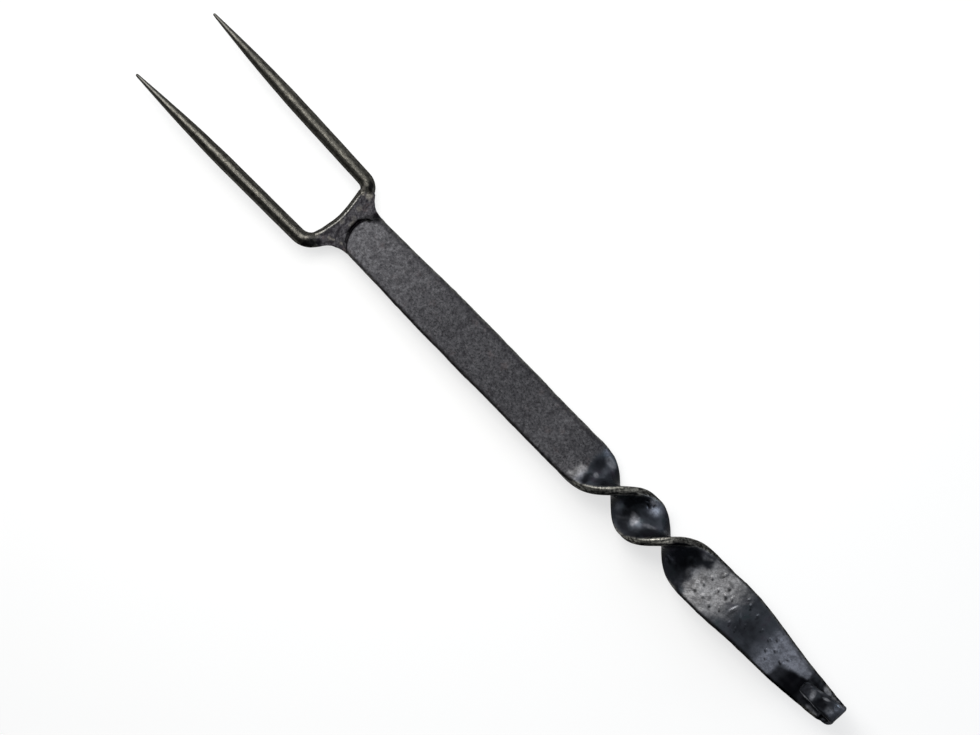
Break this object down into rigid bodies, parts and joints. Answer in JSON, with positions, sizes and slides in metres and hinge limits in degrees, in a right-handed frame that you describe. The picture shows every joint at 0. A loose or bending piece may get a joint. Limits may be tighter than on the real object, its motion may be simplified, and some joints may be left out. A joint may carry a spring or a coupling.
{
  "type": "fork",
  "caption": "Hand-forged steel cooking fork: long pointed tines on a hammered yoke, flat bar handle with a full twist, leaf-shaped grip and curled hanging hook.",
  "frame": {"origin": "middle of the shank's flat back face, halfway between the nose of the bar and the start of the twist", "axes": "+X along the fork from the tines to the hook, +Y across it towards the right tine, +Z out of the front face that the hook curls over"},
  "size_m": [0.366, 0.0412, 0.0242],
  "materials": {
    "handle_steel": "hand-forged mild steel, blackened and waxed: matt pebbled forge scale on the shank, glossier blue-black in the twist, pitted satin on the leaf, bare metal rubbed through along the edges",
    "tine_steel": "drawn and blackened steel rod, satin charcoal with an olive cast, hammered flat and grainy at the yoke, paler at the points",
    "weld_metal": "blackened weld metal, lumpy"
  },
  "bodies": {
    "root": {"handle": "handle_steel", "tines": "tine_steel", "weld_left": "weld_metal", "weld_right": "weld_metal"}
  },
  "joints": []
}
